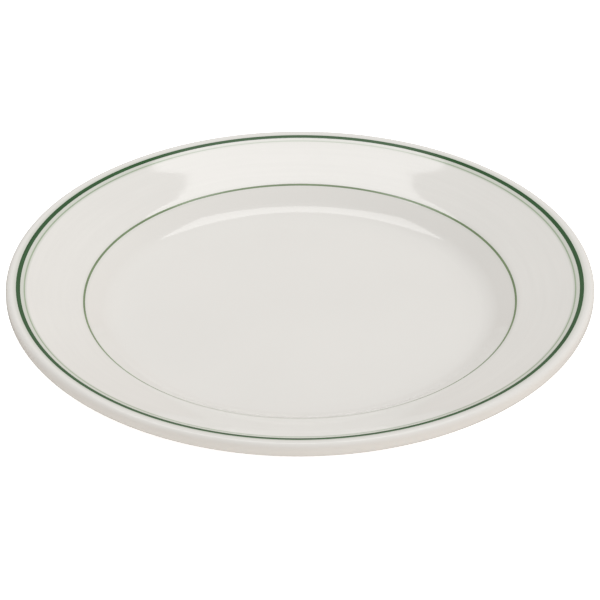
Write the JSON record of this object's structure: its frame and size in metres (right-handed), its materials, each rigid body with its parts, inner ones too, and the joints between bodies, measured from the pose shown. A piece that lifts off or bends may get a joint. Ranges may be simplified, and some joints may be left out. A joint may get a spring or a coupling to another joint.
{
  "type": "dinner plate",
  "caption": "Round china dinner plate with a flat well, a sloped rim, a rolled edge and a foot ring, glazed all over, with green bands set in the glaze.",
  "frame": {"origin": "centre of the foot ring's resting plane", "axes": "+Z along the axis of turning, up out of the well; X and Y are alike"},
  "size_m": [0.2666, 0.2666, 0.0279],
  "materials": {
    "fired_china": "unglazed fired china, matt and slightly rough, seen only on the dry face of the foot ring",
    "clear_glaze": "glossy glaze over an off-white body, warm white, polished by the fire",
    "dark_green_enamel": "glossy dark green colour sunk into the glaze, laid by brush on a turning plate",
    "light_green_enamel": "glossy thin wash of green sunk into the glaze, paler than the wide band",
    "mid_green_enamel": "glossy thin wash of green sunk into the glaze"
  },
  "bodies": {
    "root": {"china_body": "fired_china", "face_glaze": "clear_glaze", "base_glaze": "clear_glaze", "wide_band": "dark_green_enamel", "hairline": "light_green_enamel", "verge_line": "mid_green_enamel"}
  },
  "joints": []
}
